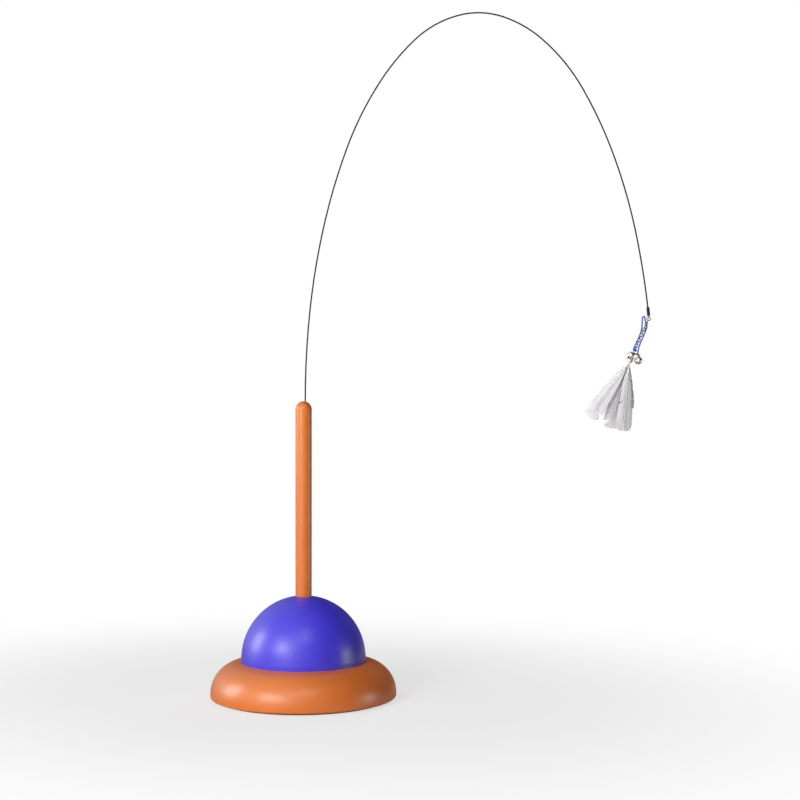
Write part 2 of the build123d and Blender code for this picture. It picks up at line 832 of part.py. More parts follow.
def lower_bush():
    """Flanged cup in the chassis that carries the output shaft's lower end."""
    cup = disc(bush_radius, cup_bottom, chassis_top)
    cup += disc(bush_flange_radius, chassis_top, chassis_top + bush_flange)
    return cup - disc(shaft_radius + running_gap, cup_bottom + cup_floor, chassis_top + bush_flange)


def upper_bush():
    """Flanged bush in the cover."""
    bush = sleeve(bush_radius, shaft_radius + running_gap, cover_z, cover_top)
    return bush + sleeve(bush_flange_radius, shaft_radius + running_gap, cover_top, cover_top + bush_flange)


def rod_bush():
    """Plain bush in the dome's boss that steadies the rod."""
    return sleeve(rod_bush_radius, rod_radius + running_gap, rod_bush_bottom, rod_bush_top)


# Wand

def shaft_end_section(radius):
    """Shaft section with the flat that drives the hub."""
    flat = section_box(shaft_radius - shaft_flat, radius + overrun, -radius - overrun, radius + overrun)
    return Circle(radius) - flat


def output_shaft():
    """Steel shaft from the lower bush up into the drive hub."""
    shaft = disc(shaft_radius, cup_bottom + cup_floor + running_gap, hub_bottom)
    return shaft + Pos(0, 0, hub_bottom) * extrude(shaft_end_section(shaft_radius), hub_hold)


def drive_hub():
    """Flanged hub on the output shaft; its spigot fills the rod's lower end."""
    hub = disc(rod_radius, hub_bottom, rod_bottom)
    hub += disc(rod_radius - rod_wall - seat_gap, rod_bottom, rod_bottom + hub_spigot)
    return hub - Pos(0, 0, hub_bottom) * extrude(shaft_end_section(shaft_radius), hub_hold)


def wand_rod():
    """Hollow rod with a half-round solid tip, drilled for the wire."""
    full = section_box(0, rod_radius, rod_bottom, rod_top - rod_radius)
    full += quarter_disc(rod_radius, 0, rod_top - rod_radius)
    bore = section_box(0, rod_radius - rod_wall, rod_bottom, rod_top - rod_solid_tip)
    hole = disc(wire_radius + seat_gap, rod_top - wire_grip, rod_top, wire_offset)
    return turned(full - bore) - hole


def arch_point(turn):
    """Point of the wire's half-ellipse."""
    return Vector(wire_offset + arch_half_span * (1 - cos(turn)), 0, rod_top + arch_rise * sin(turn))


def arch_heading(turn):
    """Direction of the wire at that point."""
    return Vector(arch_half_span * sin(turn), 0, arch_rise * cos(turn)).normalized()


def biarc(start, heading, end, end_heading):
    """Two tangent arcs between two points with given directions."""
    chord = end - start
    along = chord.dot(heading + end_heading)
    spread = 2 * (1 - heading.dot(end_heading))
    reach = (sqrt(along ** 2 + spread * chord.dot(chord)) - along) / spread
    middle = (start + end + (heading - end_heading) * reach) * 0.5
    first = TangentArc(start, middle, tangent=heading)
    return [first, TangentArc(middle, end, tangent=first % 1)]


arch_end_turn = pi - asin(arch_end_rise / arch_rise)
wire_end = arch_point(arch_end_turn)
wire_heading = arch_heading(arch_end_turn)


def wand_wire():
    """Spring wire from inside the rod's tip, over its arch, to inside the sleeve."""
    edges = [Line((wire_offset, 0, rod_top - wire_grip), (wire_offset, 0, rod_top))]
    turns = [arch_end_turn * step / arch_spans for step in range(arch_spans + 1)]
    for turn, after in zip(turns, turns[1:]):
        edges += biarc(arch_point(turn), arch_heading(turn), arch_point(after), arch_heading(after))
    path = Wire(edges)
    wire = round_bar(path, wire_radius)
    print("wire length", round(path.length, 2), "volume share of section times length",
          round(wire.volume / (pi * wire_radius ** 2 * path.length), 5))
    return wire


# Sleeve, eye and jump ring

sleeve_turn = -degrees(atan2(wire_heading.X, -wire_heading.Z))
sleeve_place = Pos(*wire_end) * Rot(0, sleeve_turn, 0)
lure_turn = Rot(0, lure_tilt, 0)
lure_down = Vector(-sin(radians(lure_tilt)), 0, -cos(radians(lure_tilt)))
ring_pivot = wire_end + wire_heading * (sleeve_nose + eye_drop)
jump_ring_centre = ring_pivot + lure_down * (jump_ring_radius - eye_step)
lure_pivot = jump_ring_centre + lure_down * jump_ring_radius
lure_place = Pos(*lure_pivot) * lure_turn


def tip_eye():
    """Wire staple under the sleeve that the jump ring hangs in."""
    side = eye_half_width
    top = -sleeve_nose + eye_leg
    bend = -sleeve_nose - eye_drop + side
    legs = [Line((0, -side, top), (0, -side, bend)),
            ThreePointArc((0, -side, bend), (0, 0, bend - side), (0, side, bend)),
            Line((0, side, bend), (0, side, top))]
    return sleeve_place * round_bar(Wire(legs), eye_wire_radius)


def tip_sleeve():
    """Crimped sleeve over the wire's end and the eye's legs."""
    body = disc(sleeve_radius, -sleeve_nose, sleeve_grip)
    body = chamfer(body.edges().group_by(Axis.Z)[-1], sleeve_edge)
    body -= disc(wire_radius + seat_gap, 0, sleeve_grip)
    return sleeve_place * body - tip_eye()


def jump_ring():
    """Round ring in the plane of the wire's arch."""
    return Pos(*jump_ring_centre) * Rot(90, 0, 0) * Torus(jump_ring_radius, ring_wire_radius)


# Lure, drawn hanging straight down from the jump ring's lower bar

def chain_link():
    """Oval link in the XZ plane, its top bar's middle at the origin."""
    side = link_half_width
    low = -side - link_straight
    path = [ThreePointArc((-side, 0, -side), (0, 0, 0), (side, 0, -side)),
            Line((side, 0, -side), (side, 0, low)),
            ThreePointArc((side, 0, low), (0, 0, low - side), (-side, 0, low)),
            Line((-side, 0, low), (-side, 0, -side))]
    return round_bar(Wire(path), link_wire_radius)


def hanging_links():
    """Chain links, each turned a quarter from the last."""
    link = chain_link()
    places = [Pos(0, 0, link_step - i * link_pitch) for i in range(link_count)]
    return [place * Rot(0, 0, 90 * ((i + 1) % 2)) * link for i, place in enumerate(places)]


def lure_point(place):
    """Point of the cord's route from its place beside, behind and below the lure's pivot."""
    x, y, depth = place
    return Vector(x, y, -depth)


def hanging_cord():
    """Short cord from the knot, up round the chain's top and down to the right bell."""
    points = [lure_point(place) for place in cord_route]
    runs = [after - point for point, after in zip(points, points[1:])]
    radii = []
    for run, after in zip(runs, runs[1:]):
        half_turn = radians(run.get_angle(after)) / 2
        radii.append(bend_share * min(run.length, after.length) / tan(half_turn))
    path = FilletPolyline(*points, radius=radii)
    cord = round_bar(path, cord_radius)
    print("cord bends", [round(radius, 1) for radius in radii])
    print("cord length", round(path.length, 2), "volume share of section times length",
          round(cord.volume / (pi * cord_radius ** 2 * path.length), 5))
    return cord


hung_cord = hanging_cord()


def hanging_cap():
    """Turned cap that binds the feathers' quills, its neck held in the knot."""
    profile = Polyline((0, -knot_depth), (cap_neck_radius, -knot_depth), (cap_neck_radius, -cap_neck_end),
                       (cap_radius, -cap_flare_end), (cap_radius, -cap_end), (0, -cap_end), close=True)
    cap = revolve(Plane.XZ * make_face(profile), Axis.Z)
    cap -= disc(cap_radius - cap_wall, -cap_end, -cap_end + cap_bore_depth)
    return Pos(0, cap_y, 0) * cap


def cord_knot():
    """Round knot over the chain's last link, the cord's start and the cap's neck."""
    knot = Pos(0, 0, -knot_depth) * Sphere(knot_radius)
    return lure_place * (knot - hanging_links()[-1] - hanging_cap() - hung_cord)


def bell_place(bearing, lean):
    """Where a bell hangs on the bell ring, leaning outwards."""
    ring = Pos(bell_ring_x, bell_ring_y, -bell_ring_depth)
    return ring * Rot(0, 0, bearing) * Pos(bell_ring_radius, 0, 0) * Rot(0, -lean, 0)


bail_drop = bell_bail_radius - bell_bail_wire - ring_wire_radius - link_gap
bell_drop = bail_drop + bell_bail_radius - bell_bail_sink + bell_radius


def hanging_bell(bearing, lean):
    """Hollow jingle bell with a rim, a crossed slot below and a bail above."""
    ball = Sphere(bell_radius) + Pos(0, 0, -bell_rim_height / 2) * extrude(
        Circle(bell_radius + bell_rim), bell_rim_height)
    bail = Pos(0, 0, bell_radius + bell_bail_radius - bell_bail_sink) * Rot(90, 0, 0) * Torus(
        bell_bail_radius, bell_bail_wire)
    ball += bail
    ball -= Sphere(bell_radius - bell_wall)
    for angle in (0, 90):
        slot = Pos(0, 0, -bell_slot_top - bell_radius / 2) * Box(bell_slot_length, bell_slot, bell_radius)
        ball -= Rot(0, 0, angle) * slot
    return bell_place(bearing, lean) * Pos(0, 0, -bell_drop) * ball


def hanging_bell_ball(bearing, lean):
    """Loose ball inside a bell."""
    low = bell_radius - bell_wall - bell_ball_radius - bell_ball_gap
    return bell_place(bearing, lean) * Pos(0, 0, -bell_drop - low) * Sphere(bell_ball_radius)


def bell_balls():
    """One loose ball in each bell."""
    bells = ((left_bell_bearing, left_bell_lean), (right_bell_bearing, right_bell_lean))
    return group(lure_place * hanging_bell_ball(bearing, lean) for bearing, lean in bells)


def bell_ring():
    """Split ring round the cap's neck that the bells hang on."""
    ring = Pos(bell_ring_x, bell_ring_y, -bell_ring_depth) * Torus(bell_ring_radius, ring_wire_radius)
    return lure_place * ring


def feather(length, width, lean, layer):
    """Feather blade and quill in its own layer of the cap's mouth."""
    side = [(width * w, -length * p) for w, p in zip(blade_width_shares, blade_place_shares)]
    start = -blade_start_share * length
    right = Spline((quill_radius, start), *side, (0, -length))
    root = Line((-quill_radius, start), (quill_radius, start))
    outline = Curve() + right + mirror(right, about=Plane.YZ) + root
    blade = Pos(0, blade_thickness / 2, 0) * extrude(Plane.XZ * make_face(outline), blade_thickness)
    quill = disc(quill_radius, -quill_share * length, quill_inset)
    y = cap_y + (layer - (feather_count - 1) / 2) * quill_spacing
    return lure_place * Pos(0, y, -cap_end) * Rot(0, lean, 0) * (blade + quill)


nodes = {
    "base_ring": base_ring(),
    "dome_cover": dome_cover(),
    "base_plate": base_plate(),
    "battery_door": battery_door(),
    "anti_slip_ring": anti_slip_ring(),
    "ballast_ring": ballast_ring(),
    "base_screws": base_screws(),
    "battery_cells": battery_cells(),
    "battery_plates": battery_plates(),
    "battery_leaf_springs": battery_leaf_springs(),
    "circuit_board": circuit_board(),
    "controller_chip": controller_chip(),
    "smoothing_capacitor": smoothing_capacitor(),
    "switch_body": switch_body(),
    "switch_knob": switch_knob(),
    "motor_leads": motor_leads(),
    "battery_leads": battery_leads(),
    "motor_can": motor_can(),
    "motor_end_cap": motor_end_cap(),
    "motor_shaft": motor_shaft(),
    "motor_pinion": motor_pinion(),
    "first_gear": first_gear(),
    "second_gear": second_gear(),
    "output_gear": output_gear(),
    "gear_pins": gear_pins(),
    "gear_chassis": gear_chassis(),
    "gear_cover": gear_cover(),
    "gearbox_screws": gearbox_screws(),
    "lower_bush": lower_bush(),
    "upper_bush": upper_bush(),
    "rod_bush": rod_bush(),
    "output_shaft": output_shaft(),
    "drive_hub": drive_hub(),
    "wand_rod": wand_rod(),
    "wand_wire": wand_wire(),
    "tip_eye": tip_eye(),
    "tip_sleeve": tip_sleeve(),
    "jump_ring": jump_ring(),
    "link_chain": group(lure_place * link for link in hanging_links()),
    "lure_cord": lure_place * hung_cord,
    "cord_knot": cord_knot(),
    "bell_ring": bell_ring(),
    "left_bell": lure_place * hanging_bell(left_bell_bearing, left_bell_lean),
    "right_bell": lure_place * hanging_bell(right_bell_bearing, right_bell_lean),
    "bell_balls": bell_balls(),
    "feather_cap": lure_place * hanging_cap(),
    "left_feather": feather(left_feather_length, left_feather_width, left_feather_lean, 0),
    "right_feather": feather(right_feather_length, right_feather_width, right_feather_lean, 1),
    "middle_feather": feather(middle_feather_length, middle_feather_width, middle_feather_lean, 2),
    "narrow_feather": feather(narrow_feather_length, narrow_feather_width, narrow_feather_lean, 3),
}

print("first gear at", round(first_x, 4), round(first_y, 4))
print("second gear at", round(second_x, 4), round(second_y, 4))
print("motor at", round(motor_x, 4), round(motor_y, 4))
print("jump ring turns about", [round(value, 4) for value in ring_pivot])
print("lure turns about", [round(value, 4) for value in lure_pivot])

os.makedirs("parts", exist_ok=True)
for name, solid in nodes.items():
    export_step(solid, f"parts/{name}.step")
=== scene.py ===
import bpy
import json
import random
from math import cos, pi, radians, sin, tan
from mathutils import Matrix, Vector
from mathutils.geometry import interpolate_bezier


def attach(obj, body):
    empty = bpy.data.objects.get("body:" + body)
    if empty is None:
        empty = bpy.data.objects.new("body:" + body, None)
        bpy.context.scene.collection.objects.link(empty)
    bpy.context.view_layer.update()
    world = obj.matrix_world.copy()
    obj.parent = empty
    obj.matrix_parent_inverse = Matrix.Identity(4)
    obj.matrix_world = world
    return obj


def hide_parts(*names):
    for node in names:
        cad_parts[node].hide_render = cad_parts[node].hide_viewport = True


# Automatic cat toy: a plastic dome and ring with a turning wand, whose spring wire swings a lure of
# chain, cord, bells and feathers. Metres. The lure's pieces are made hanging straight down from the
# point it swings about, and then turned into place.

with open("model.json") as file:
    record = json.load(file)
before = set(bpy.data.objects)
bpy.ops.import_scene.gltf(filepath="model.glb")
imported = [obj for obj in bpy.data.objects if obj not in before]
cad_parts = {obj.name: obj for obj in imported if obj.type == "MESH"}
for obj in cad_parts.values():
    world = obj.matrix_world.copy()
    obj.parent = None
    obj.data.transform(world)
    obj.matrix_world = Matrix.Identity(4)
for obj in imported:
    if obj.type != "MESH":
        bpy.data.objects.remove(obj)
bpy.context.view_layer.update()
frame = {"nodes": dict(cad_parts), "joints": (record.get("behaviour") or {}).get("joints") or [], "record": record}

# Camera
camera_place = (0.078, -1.248, 0.241)
camera_lens = 69.4
camera_sensor = 36.0
level = 90                  # degrees from looking straight down

# Broad lights, which shade the toy and don't show as highlights: place, width and power
broad_aim = (0.0, 0.0, 0.06)
broad_lights = {
    "key_light": ((-0.44, -0.82, 0.43), 0.5, 7.2),
    "back_fill": ((0.45, 0.90, 0.22), 0.7, 5.0),
}

# Softboxes, which only give the highlights: the point that each is mirrored at, its direction from
# there, its width, its height and its power
softbox_distance = 1.0
softboxes = {
    "left_strip": ((-0.034, -0.032, 0.051), (-0.936, 0.172, 0.307), 0.16, 0.42, 3.2),
    "left_box": ((-0.015, -0.046, 0.048), (-0.617, -0.681, 0.395), 0.24, 0.28, 2.2),
    "front_box": ((0.004, -0.044, 0.056), (0.071, -0.667, 0.742), 0.22, 0.20, 0.9),
    "right_box": ((0.037, -0.034, 0.036), (0.990, 0.000, 0.050), 0.07, 0.22, 1.2),
}

# Small lights on the lure: place and power
lure_light_aim = (0.262, 0.0, 0.270)
lure_light_cone = 22
lure_light_radius = 0.04
lure_lights = {
    "lure_key": ((-0.35, -0.45, 0.55), 3.3),
    "lure_fill": ((0.30, -0.60, 0.30), 1.0),
}

# Room, from its bright side on the left to its dark side on the right
white = (1.0, 1.0, 1.0, 1.0)
shade_light = ((0.27, 0.26, 0.28), (0.12, 0.11, 0.12))      # on matt surfaces
mirror_light = ((0.97, 0.97, 0.97), (0.02, 0.02, 0.03))     # in reflections
dark_heading = (0.85, 0.35)     # where the room is darkest, to the right and behind
dark_edge = 0.5                 # how far to each side of the middle the change reaches

# Floor
floor_size = 8.0
floor_seen = (0.92, 0.92, 0.92)
floor_bounce = (0.80, 0.72, 0.62)   # what the floor throws back at the toy
floor_white_share = 0.62            # of plain white in the floor near the toy
floor_near = 0.12
floor_far = 0.55                    # radius past which the floor is the white of the backdrop

# Moulded plastics: display colours of the pigment and of its deeper clouds, roughness, and tint of
# the highlights
orange_sheen = (0.50, 0.95, 1.0, 1.0)
purple_sheen = (1.0, 0.97, 0.30, 1.0)
moulded_plastics = {
    "ring_orange": ((234, 124, 44), (226, 114, 38), 0.38, orange_sheen),
    "dome_purple": ((70, 59, 236), (62, 52, 228), 0.38, purple_sheen),
    "rod_orange": ((236, 128, 44), (228, 118, 38), 0.39, orange_sheen),
    "plate_orange": ((212, 104, 38), (196, 94, 33), 0.55, orange_sheen),
}
plastic_specular = 0.9
speck_tone = (1.0, 0.95, 0.9, 1.0)
scuff_tone = (0.9, 0.8, 0.72, 1.0)
scuff_heights = (0.012, 0.002)      # above the floor, where scuffs begin and where they are full

# Plastic, rubber and lacquer of the smaller pieces: display colours of the face and of its deeper
# patches, and roughness
matt_plastics = {
    "pad_rubber": ((44, 42, 44), (32, 31, 33), 0.85),
    "switch_black": ((40, 40, 43), (28, 28, 31), 0.5),
    "cell_jacket": ((62, 64, 70), (50, 52, 58), 0.4),
    "board_green": ((24, 104, 58), (18, 88, 48), 0.4),
    "component_black": ((40, 40, 42), (30, 30, 32), 0.55),
    "lead_insulation": ((170, 38, 36), (150, 30, 30), 0.45),
    "end_cap_white": ((224, 222, 214), (210, 208, 198), 0.5),
    "gear_acetal": ((232, 230, 222), (220, 217, 207), 0.45),
    "frame_grey": ((122, 122, 126), (106, 106, 110), 0.5),
    "sleeve_navy": ((14, 19, 80), (10, 14, 62), 0.6),
}

# Metals: display colours of the plating and of its tarnish, roughness, how strong the tarnish is, and
# how near another piece must come for the painted shade that darkens them
usual_reach = 0.0015
plated_metals = {
    "ballast_iron": ((95, 95, 96), (66, 60, 56), 0.6, 0.7, usual_reach),
    "machine_steel": ((190, 190, 192), (130, 128, 126), 0.32, 0.4, usual_reach),
    "motor_steel": ((196, 196, 196), (150, 150, 150), 0.35, 0.3, usual_reach),
    "contact_nickel": ((206, 202, 190), (160, 154, 140), 0.3, 0.4, usual_reach),
    "pinion_brass": ((216, 180, 106), (170, 130, 70), 0.3, 0.4, usual_reach),
    "bush_bronze": ((188, 146, 92), (140, 100, 60), 0.45, 0.5, usual_reach),
    "wire_dark": ((58, 55, 58), (40, 38, 42), 0.4, 0.5, usual_reach),
    "chain_silver": ((128, 122, 108), (70, 54, 32), 0.28, 0.9, 0.002),
    "bell_silver": ((253, 250, 245), (214, 203, 186), 0.32, 0.35, 0.0008),
    "cap_silver": ((240, 239, 236), (200, 196, 190), 0.4, 0.3, usual_reach),
}
# colour of the painted shade in crevices and between pieces
painted_shade_tone = (0.02, 0.017, 0.015, 1.0)
crevice_samples = 8

# Mesh detail
merge_distance = 1e-6
tube_detail = 2             # of a tube's round section

# Moulded edge at the dome's foot: radius and height round its section
foot_sides = 192
foot_profile = ((0.04995, 0.0375), (0.05037, 0.0335), (0.0499, 0.0332))
foot_crease = 30            # degrees past which its edges stay sharp

# Lure cord, its route repeated from the part: beside, behind and below the lure's pivot, in millimetres
millimetres = 1000          # in a metre
cord_radius = 0.0006
cord_strands = 3
cord_lay = 0.0042           # length of one twist
strand_offset_share = 0.5   # of the cord's radius, from its middle to a strand's
strand_radius_share = 0.54
cord_route = (
    (-1.2, 1.1, 25.2), (-0.9, 2.0, 21.0), (-0.8, 2.1, 14.5), (-1.1, 2.0, 9.8), (-2.0, 1.4, 6.6),
    (-3.2, 0.5, 3.9), (-4.3, 0.0, 1.5), (-4.9, 0.2, -0.5), (-4.4, 0.7, -1.5), (-3.4, 1.4, -1.7),
    (-2.6, 2.1, -0.9), (-1.8, 2.7, 0.5), (-0.6, 3.0, 1.7), (0.7, 2.6, 2.8), (1.7, 1.6, 4.8),
    (1.9, 0.6, 8.6), (2.0, 0.3, 14.6), (2.0, 0.4, 20.2), (2.5, 1.2, 23.8), (3.4, 2.4, 26.8),
    (4.6, 3.0, 29.0), (6.4, 2.8, 30.0), (8.2, 2.4, 30.2),
)

# Knot: a trefoil of the cord, pulled tight, whose thinner loop holds the chain's last link
knot_depth = 0.0262
knot_ring = 0.00072
knot_wind = 0.00066
knot_rounds = 2             # times that the cord goes round the knot's ring
knot_winds = 3              # times that it winds about that ring
knot_radius = 0.00058
knot_points = 48
loop_depth = 0.0241         # middle of the last link's lower bar
loop_radius = 0.00042
loop_reach = 0.00076        # from the bar's middle to the loop's
loop_shares = (             # of the reach, behind and above the bar's middle
    (-1.0, -1.6), (-1.2, 0.0), (-0.9, 1.0), (0.0, 1.3), (0.9, 1.0), (1.2, 0.0), (1.0, -1.6),
)

# Feathers: length, width, lean and roll in degrees, place in depth, bow of the tip, and where the
# barbs have come apart on the left and on the right, as shares of the vane's edge
feathers = {
    "left_feather": (0.0550, 0.0130, 11.5, 16, -0.000925, -0.0026, (0.80, 0.94), (0.86,)),
    "right_feather": (0.0560, 0.0130, -19, -14, 0.000025, -0.0010, (0.55, 0.84),
                      (0.22, 0.33, 0.43, 0.52, 0.60, 0.69, 0.79, 0.90)),
    "middle_feather": (0.0555, 0.0140, -7.5, -10, 0.000975, 0.0008, (0.90,), (0.80, 0.93)),
    "narrow_feather": (0.0380, 0.0070, -26, -8, 0.001925, 0.0022, (0.60,), (0.30, 0.52, 0.74, 0.88)),
}
cap_end = 0.0368
quill_radius = 0.00046
quill_tip_radius = 0.00022
quill_inset = 0.0016
quill_end_share = 0.93      # of the feather's length
quill_steps = 12
vane_thickness = 0.00012
vane_camber = 0.0009        # how far the edges bend back
vane_start_share = 0.06     # of the feather's length
vane_place_shares = (0.30, 0.60, 0.86, 0.98)    # of the length, where the edge's corners are
vane_half_shares = (0.27, 0.42, 0.50, 0.40)     # of the width, from the quill to those corners
vane_edge_steps = 24        # between two corners
barb_rows = 140
barb_columns = 10
barb_rise = 0.000005        # how far every second barb stands out of the vane
barb_sweep = 1.3            # power by which a barb bends towards the tip
barb_reach_shares = (0.985, 1.0)    # least and most of the way to the edge that a barb goes
barb_gather_shares = (0.07, 0.18)   # least and most that barbs which stay together close up at their tips
barb_tilt = 0.05            # most that a group of barbs turns about the quill


# Places

def lure_matrix():
    """Place of the lure's own frame: its pivot, with the swing's axis as X."""
    swing = next(j for j in frame["joints"] if j["name"] == "lure_swing")
    side = Vector(swing["axis"]).normalized()
    back = Vector((0.0, 1.0, 0.0))
    turn = Matrix((side, back, side.cross(back))).transposed()
    return Matrix.Translation(Vector(swing["pos_m"])) @ turn.to_4x4()


lure_place = lure_matrix()


# Finishes

class Signal:
    """A shader socket's value; an expression on signals adds its Math nodes."""

    def __init__(self, finish, socket):
        self.finish = finish
        self.socket = socket

    def maths(self, operation, *values):
        return self.finish.node("ShaderNodeMath", {"operation": operation}, dict(enumerate(values)))

    def __add__(self, other):
        return self.maths("ADD", self, other)

    __radd__ = __add__

    def __sub__(self, other):
        return self.maths("SUBTRACT", self, other)

    def __rsub__(self, other):
        return self.maths("SUBTRACT", other, self)

    def __mul__(self, other):
        return self.maths("MULTIPLY", self, other)

    __rmul__ = __mul__

    def __pow__(self, other):
        return self.maths("POWER", self, other)

    def __rpow__(self, other):
        return self.maths("POWER", other, self)

    def sine(self):
        return self.maths("SINE", self)

    def smooth(self, start, end):
        """Goes from 0 at the start to 1 at the end, whichever of the two is lower."""
        low, high = min(start, end), max(start, end)
        bottom, top = (0.0, 1.0) if start < end else (1.0, 0.0)
        inputs = {"Value": self, "From Min": low, "From Max": high, "To Min": bottom, "To Max": top}
        return self.finish.node("ShaderNodeMapRange", {"interpolation_type": "SMOOTHSTEP"}, inputs)


class Finish:
    """One material or world, and the one way in which its nodes are made."""

    def __init__(self, holder):
        self.holder = holder
        holder.use_nodes = True
        self.tree = holder.node_tree
        self.tree.nodes.clear()

    def node(self, kind, settings=None, inputs=None, output=0):
        """A node by its type, its settings and the values or links of its sockets."""
        made = self.tree.nodes.new(kind)
        for key, value in (settings or {}).items():
            setattr(made, key, value)
        for key, value in (inputs or {}).items():
            if isinstance(value, Signal):
                self.tree.links.new(value.socket, made.inputs[key])
            else:
                made.inputs[key].default_value = value
        return Signal(self, made.outputs[output]) if made.outputs else made

    def place(self, output="Object"):
        """Coordinates of the surface."""
        return self.node("ShaderNodeTexCoord", output=output)

    def axis(self, name, place=None):
        """One of the coordinates."""
        return self.node("ShaderNodeSeparateXYZ", None, {0: place or self.place()}, name)

    def noise(self, scale, detail=3.0, roughness=0.5, place=None):
        inputs = {"Vector": place or self.place(), "Scale": scale, "Detail": detail, "Roughness": roughness}
        return self.node("ShaderNodeTexNoise", None, inputs)

    def stretched(self, scale, place):
        """Coordinates scaled along each axis by itself."""
        return self.node("ShaderNodeMapping", None, {"Vector": place, "Scale": scale})

    def crevice(self, reach):
        """One in the open, less where other surfaces are near."""
        settings = {"samples": crevice_samples}
        return self.node("ShaderNodeAmbientOcclusion", settings, {"Distance": reach}, "AO")

    def ray(self, kind):
        """One for rays of this kind, and zero for all others."""
        return self.node("ShaderNodeLightPath", output=kind)

    def blend(self, share, first, second):
        """Colour between two."""
        return self.node("ShaderNodeMix", {"data_type": "RGBA"}, {0: share, 6: first, 7: second}, 2)

    def bump(self, height, distance, strength=1.0):
        inputs = {"Height": height, "Distance": distance, "Strength": strength}
        return self.node("ShaderNodeBump", None, inputs)

    def surface(self, **inputs):
        """Finish with one principled shader."""
        named = {key.replace("_", " "): value for key, value in inputs.items()}
        return self.end(self.node("ShaderNodeBsdfPrincipled", None, named))

    def end(self, shader, kind="ShaderNodeOutputMaterial"):
        self.node(kind, None, {"Surface": shader})
        return self.holder


def material(name):
    return Finish(bpy.data.materials.new(name))


def colour(red, green, blue):
    """Linear colour from its display values."""
    def linear(value):
        share = value / 255
        return share / 12.92 if share <= 0.04045 else ((share + 0.055) / 1.055) ** 2.4
    return (linear(red), linear(green), linear(blue), 1.0)


def moulded_plastic(name, tone, deep, roughness, tint):
    """Satin moulded plastic: cloudy pigment, fine grain and scuffs low on the wall."""
    f = material(name)
    cloud = f.noise(28, detail=2).smooth(0.3, 0.7)
    speck = f.noise(2600, detail=1).smooth(0.62, 0.78)
    low_down = f.axis("Z").smooth(*scuff_heights)
    scuff = f.noise(420, detail=4, roughness=0.7).smooth(0.60, 0.75) * low_down
    pigment = f.blend(cloud * 0.5, colour(*tone), colour(*deep))
    pigment = f.blend(speck * 0.03, pigment, speck_tone)
    pigment = f.blend(scuff * 0.15, pigment, scuff_tone)
    dull = f.noise(90, detail=4, roughness=0.6) * 0.08 + scuff * 0.2 + (roughness - 0.04)
    grain = f.bump(f.noise(240, detail=1), distance=0.000005)
    return f.surface(Base_Color=pigment, Roughness=dull, Normal=grain,
                     Specular_IOR_Level=plastic_specular, Specular_Tint=tint)


def matt_plastic(name, tone, deep, roughness):
    """Plain moulded plastic, rubber or lacquer of the smaller pieces."""
    f = material(name)
    face = f.blend(f.noise(120).smooth(0.35, 0.7), colour(*tone), colour(*deep))
    dull = f.noise(400) * 0.15 + (roughness - 0.07)
    grain = f.bump(f.noise(1500, detail=2), distance=0.00004, strength=0.6)
    return f.surface(Base_Color=face, Roughness=dull, Normal=grain)


def plated_metal(name, tone, tarnish, roughness, amount, reach):
    """Plated metal, tarnished in patches, with painted shade where other pieces are near."""
    f = material(name)
    patch = f.noise(600, detail=4, roughness=0.65).smooth(0.45, 0.75) * amount
    # painted shade: darker where other surfaces are near
    painted_shade = f.crevice(reach).smooth(0.9, 0.25)
    face = f.blend(patch, colour(*tone), colour(*tarnish))
    face = f.blend(painted_shade * 0.9, face, painted_shade_tone)
    dull = patch * 0.3 + f.noise(3500, detail=2) * 0.1 + (roughness - 0.05)
    grain = f.bump(f.noise(2500), distance=0.00002, strength=0.5)
    return f.surface(Base_Color=face, Metallic=1.0, Roughness=dull, Normal=grain)


def cord_finish():
    """Blue twisted cord: fibres run along each strand, paler where they stand out."""
    f = material("cord_blue")
    fibre = f.noise(1.0, detail=2, place=f.stretched((160, 60, 1), f.place("UV")))
    face = f.blend(fibre.smooth(0.35, 0.7), colour(34, 80, 218), colour(78, 126, 245))
    grain = f.bump(fibre, distance=0.00008, strength=0.7)
    return f.surface(Base_Color=face, Roughness=fibre * 0.2 + 0.6, Normal=grain)


def vane_finish():
    """White vane: faint lines and streaks along the barbs, greyer by the quill; painted shade between feathers."""
    f = material("vane_white")
    uv = f.place("UV")
    lines = (f.axis("Y", uv) * (2 * pi * barb_rows)).sine() * 0.5 + 0.5
    streak = f.noise(1.0, place=f.stretched((2.5, 30, 1), uv)).smooth(0.35, 0.72)
    inner = f.axis("X", uv).smooth(0.4, 0.0)
    # painted shade where another feather is near
    between = f.crevice(0.005).smooth(0.95, 0.35)
    face = f.blend(streak * 0.55, colour(241, 241, 245), colour(215, 215, 221))
    face = f.blend(lines * 0.09, face, colour(180, 179, 188))
    face = f.blend(inner * 0.6, face, colour(172, 171, 180))
    face = f.blend(between * 0.7, face, colour(120, 119, 128))
    grain = f.bump(lines, distance=0.00001, strength=0.6)
    return f.surface(Base_Color=face, Roughness=streak * 0.1 + 0.6, Normal=grain)


def quill_finish():
    """Horny quill, creamier in patches."""
    f = material("quill_white")
    grain = f.noise(900)
    face = f.blend(grain.smooth(0.4, 0.7), colour(255, 254, 252), colour(244, 241, 235))
    return f.surface(Base_Color=face, Roughness=grain * 0.15 + 0.35)


finishes = {"cord_blue": cord_finish(), "feather_white": vane_finish()}
for make, looks in ((moulded_plastic, moulded_plastics), (matt_plastic, matt_plastics),
                    (plated_metal, plated_metals)):
    for name, look in looks.items():
        finishes[name] = make(name, *look)
quill_white = quill_finish()

for entry in frame["record"]["subparts"]:
    node = frame["nodes"][entry["node"]]
    node.data.materials.clear()
    node.data.materials.append(finishes[entry["material_slot"]])


# Pieces in general

def pick(*pieces):
    """Select these pieces and no others, the first as the active one."""
    bpy.ops.object.select_all(action="DESELECT")
    for piece in pieces:
        piece.select_set(True)
    bpy.context.view_layer.objects.active = pieces[0]


def primitive(name, add, **sizes):
    """A new primitive to start from, which alone is selected."""
    bpy.ops.object.select_all(action="DESELECT")
    add(**sizes)
    piece = bpy.context.active_object
    piece.name = name
    return piece


